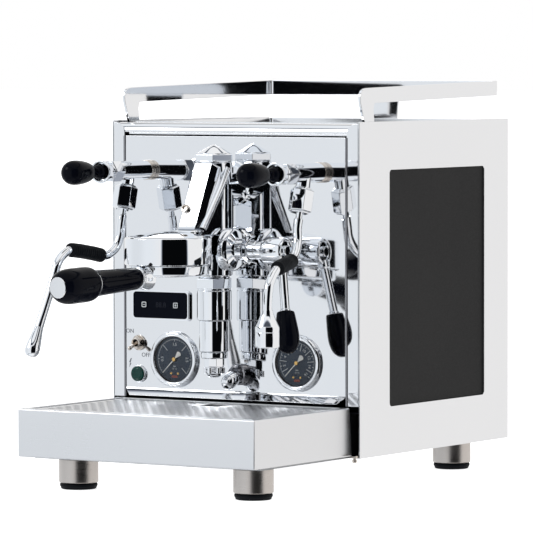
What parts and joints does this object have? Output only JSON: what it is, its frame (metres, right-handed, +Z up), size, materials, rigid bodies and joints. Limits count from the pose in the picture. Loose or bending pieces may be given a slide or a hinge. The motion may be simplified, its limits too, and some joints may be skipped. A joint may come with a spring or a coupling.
{
  "type": "espresso machine",
  "caption": "Polished steel espresso machine with a lever brew group, steam and hot water wands, pressure gauges, drip tray and railed cup warmer.",
  "frame": {"origin": "middle of the bounding box of the whole machine, on the surface it stands on", "axes": "+Z up, +Y towards the back of the machine, +X to the right of a person facing it"},
  "size_m": [0.3, 0.5914, 0.4085],
  "materials": {
    "mirror_steel": "mirror polished stainless steel",
    "polished_steel": "polished stainless steel",
    "satin_steel": "satin stainless steel",
    "brushed_steel": "brushed stainless steel, warm grey",
    "chrome": "chrome plated brass, polished",
    "anthracite": "satin anthracite powder coat",
    "black_handle": "gloss black moulded plastic",
    "black_rubber": "matt black silicone rubber",
    "screen": "smoked black window",
    "gauge_case": "chrome bezel over a slate dial",
    "needle": "white enamel",
    "lamp": "translucent green lens",
    "zinc_steel": "galvanised sheet",
    "boiler_steel": "welded stainless steel shell",
    "tank_plastic": "clear moulded plastic, slightly milky",
    "electrics": "black moulded plastic"
  },
  "bodies": {
    "machine": {"chassis_base": "zinc_steel", "pump": "zinc_steel", "body_frame": "mirror_steel", "front_panel": "mirror_steel", "cup_rail": "mirror_steel", "side_panel_left": "polished_steel", "side_panel_right": "polished_steel", "side_inset_left": "anthracite", "side_inset_right": "anthracite", "rear_panel": "satin_steel", "top_frame": "satin_steel", "foot_front_left": "brushed_steel", "foot_front_right": "brushed_steel", "foot_rear_left": "brushed_steel", "foot_rear_right": "brushed_steel", "foot_pad_front_left": "black_rubber", "foot_pad_front_right": "black_rubber", "foot_pad_rear_left": "black_rubber", "foot_pad_rear_right": "black_rubber", "group_gasket": "black_rubber", "display_housing": "screen", "boiler_gauge_case": "gauge_case", "pump_gauge_case": "gauge_case", "power_switch_base": "chrome", "group_head": "chrome", "group_cap": "chrome", "infusion_chamber": "chrome", "lever_bonnet": "chrome", "steam_valve_body": "chrome", "water_valve_body": "chrome", "steam_wand_nut": "chrome", "water_wand_nut": "chrome", "drain_spout": "chrome", "pilot_lamp": "lamp", "steam_boiler": "boiler_steel", "brew_boiler": "boiler_steel", "water_tank": "tank_plastic", "control_box": "electrics", "power_inlet": "electrics"},
    "drip_tray": {"drip_tray": "satin_steel"},
    "drip_grid": {"drip_grid": "satin_steel"},
    "cup_tray": {"cup_tray": "satin_steel"},
    "button_minus": {"button_minus": "screen"},
    "button_plus": {"button_plus": "screen"},
    "boiler_gauge_needle": {"boiler_gauge_needle": "needle"},
    "pump_gauge_needle": {"pump_gauge_needle": "needle"},
    "power_switch_lever": {"power_switch_lever": "chrome"},
    "steam_joystick": {"steam_joystick": "black_handle"},
    "water_joystick": {"water_joystick": "black_handle"},
    "steam_wand_ball": {"steam_wand_ball": "chrome"},
    "steam_wand": {"steam_wand": "chrome", "steam_wand_grip": "black_rubber"},
    "water_wand_ball": {"water_wand_ball": "chrome"},
    "water_wand": {"water_wand": "chrome", "water_wand_grip": "black_rubber"},
    "brew_lever": {"brew_lever": "chrome", "brew_lever_handle": "black_handle"},
    "portafilter": {"portafilter": "chrome", "portafilter_handle": "black_handle", "filter_basket": "polished_steel"}
  },
  "joints": [
    {"name": "drip_tray_slide", "type": "slide", "parent": "machine", "child": "drip_tray", "axis": [0, -1, 0], "range_m": [0, 0.15]},
    {"name": "drip_grid_lift", "type": "slide", "parent": "drip_tray", "child": "drip_grid", "axis": [0, 0, 1], "range_m": [0, 0.01]},
    {"name": "cup_tray_lift", "type": "slide", "parent": "machine", "child": "cup_tray", "axis": [0, 0, 1], "range_m": [0, 0.05]},
    {"name": "minus_press", "type": "slide", "parent": "machine", "child": "button_minus", "axis": [0, 1, 0], "range_m": [0, 0.0005], "stiffness_N_per_m": 300, "springref_m": -0.0005},
    {"name": "plus_press", "type": "slide", "parent": "machine", "child": "button_plus", "axis": [0, 1, 0], "range_m": [0, 0.0005], "stiffness_N_per_m": 300, "springref_m": -0.0005},
    {"name": "boiler_needle_turn", "type": "hinge", "parent": "machine", "child": "boiler_gauge_needle", "pos_m": [-0.0725, -0.00927, 0.1243], "axis": [0, 1, 0], "range_deg": [0, 270], "stiffness_Nm_per_rad": 0.0005, "springref_deg": -11.46},
    {"name": "pump_needle_turn", "type": "hinge", "parent": "machine", "child": "pump_gauge_needle", "pos_m": [0.0763, -0.00927, 0.1257], "axis": [0, 1, 0], "range_deg": [0, 270], "stiffness_Nm_per_rad": 0.0005, "springref_deg": -11.46},
    {"name": "power_toggle", "type": "hinge", "parent": "machine", "child": "power_switch_lever", "pos_m": [-0.117, -0.01127, 0.14], "axis": [-1, 0, 0], "range_deg": [0, 40]},
    {"name": "steam_joystick_tilt", "type": "hinge", "parent": "machine", "child": "steam_joystick", "pos_m": [-0.105, -0.09527, 0.3183], "axis": [1, 0, 0], "range_deg": [-15, 15], "stiffness_Nm_per_rad": 0.4},
    {"name": "steam_wand_tilt", "type": "hinge", "parent": "machine", "child": "steam_wand_ball", "pos_m": [-0.1065, -0.04798, 0.28966], "axis": [1, 0, 0], "range_deg": [-8, 8]},
    {"name": "steam_wand_swivel", "type": "hinge", "parent": "steam_wand_ball", "child": "steam_wand", "pos_m": [-0.1065, -0.04798, 0.28966], "axis": [0, 0.2419, 0.9703], "range_deg": [-60, 30]},
    {"name": "water_joystick_tilt", "type": "hinge", "parent": "machine", "child": "water_joystick", "pos_m": [0.105, -0.09527, 0.3183], "axis": [1, 0, 0], "range_deg": [-15, 15], "stiffness_Nm_per_rad": 0.4},
    {"name": "water_wand_tilt", "type": "hinge", "parent": "machine", "child": "water_wand_ball", "pos_m": [0.1065, -0.04798, 0.28966], "axis": [1, 0, 0], "range_deg": [-8, 8]},
    {"name": "water_wand_swivel", "type": "hinge", "parent": "water_wand_ball", "child": "water_wand", "pos_m": [0.1065, -0.04798, 0.28966], "axis": [0, 0.2419, 0.9703], "range_deg": [-30, 60]},
    {"name": "brew_lever_turn", "type": "hinge", "parent": "machine", "child": "brew_lever", "pos_m": [0.062, -0.04376, 0.2405], "axis": [-1, 0, 0], "range_deg": [0, 75]},
    {"name": "portafilter_lock", "type": "hinge", "parent": "machine", "child": "portafilter", "pos_m": [0, -0.12676, 0.228], "axis": [0, 0, 1], "range_deg": [-50, 5]}
  ]
}
